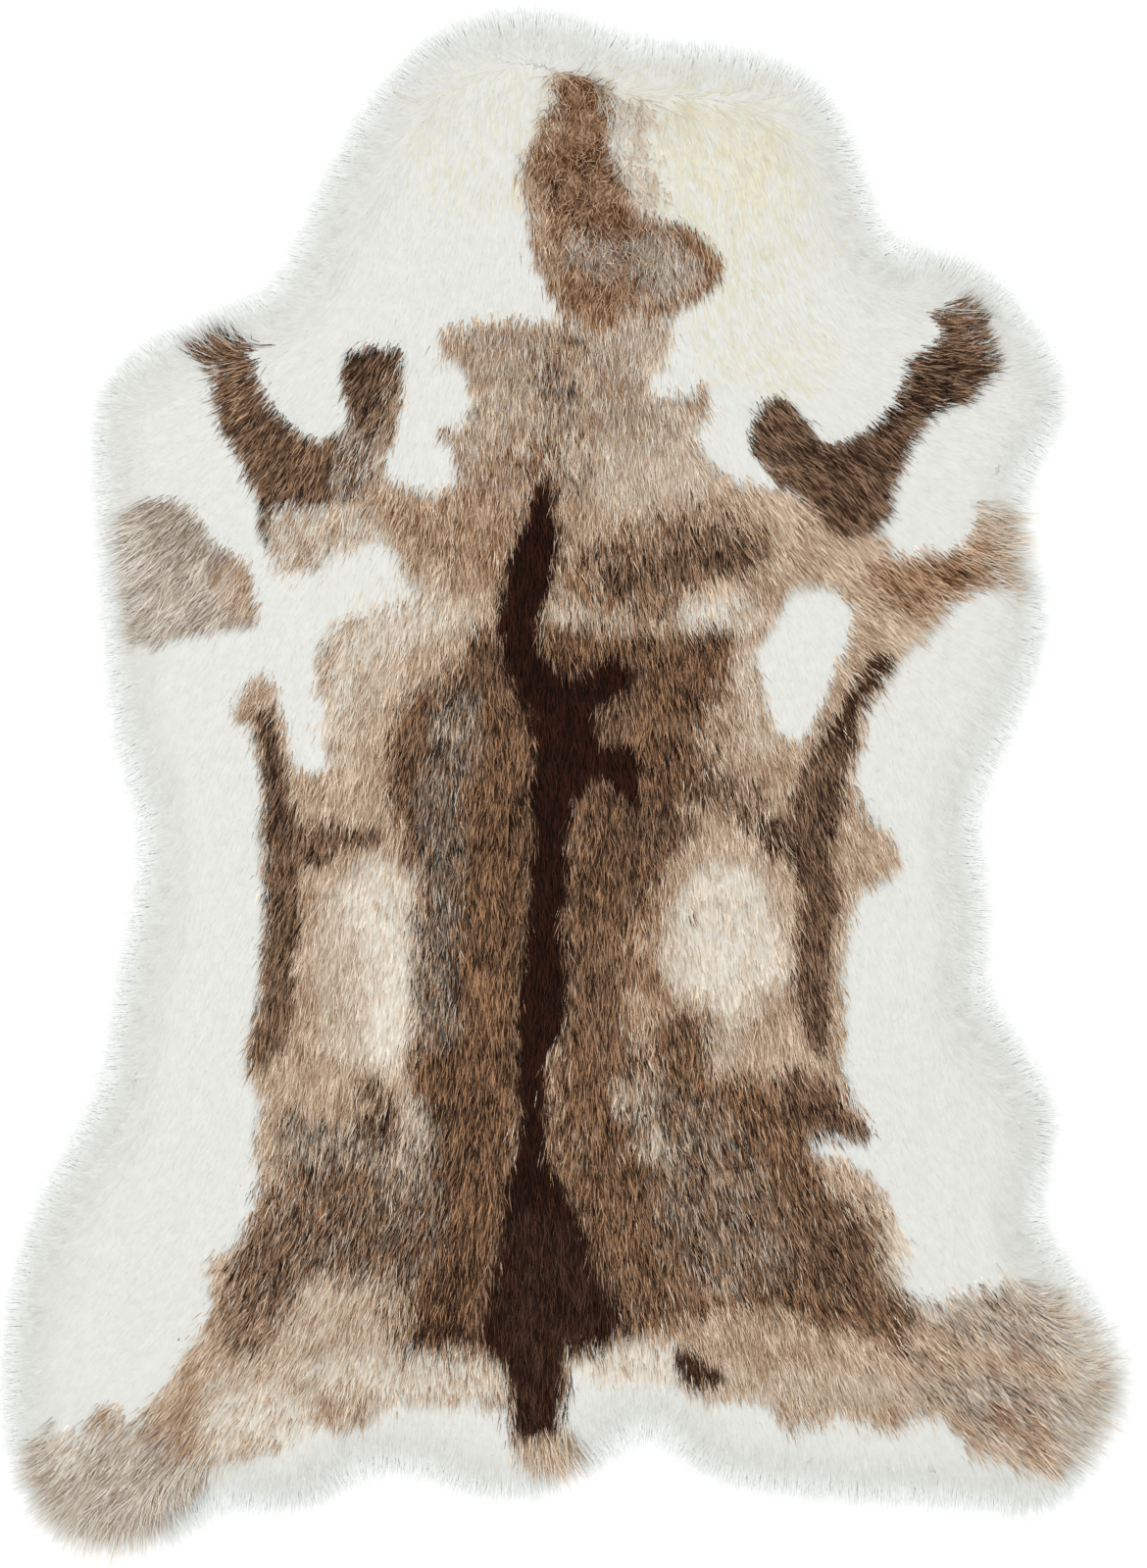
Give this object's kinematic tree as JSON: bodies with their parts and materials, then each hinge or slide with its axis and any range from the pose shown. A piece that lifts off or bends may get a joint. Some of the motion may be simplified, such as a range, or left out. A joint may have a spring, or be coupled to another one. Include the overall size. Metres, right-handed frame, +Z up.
{
  "type": "fur rug",
  "caption": "Flat fur rug with the outline of a whole hide, white with brown patches and a dark stripe down the spine, its rim parted into soft locks.",
  "frame": {"origin": "under the middle of the rug's box, on the plane that its flat underside rests on", "axes": "+Y from the hind legs towards the neck, +Z up through the pile, +X to the right of the spine seen from above"},
  "size_m": [0.8592, 1.1644, 0.0301],
  "materials": {
    "hair": "matt dense hair, creamy white with tan, brown and near-black markings"
  },
  "bodies": {
    "root": {"pelt": "hair"}
  },
  "joints": []
}
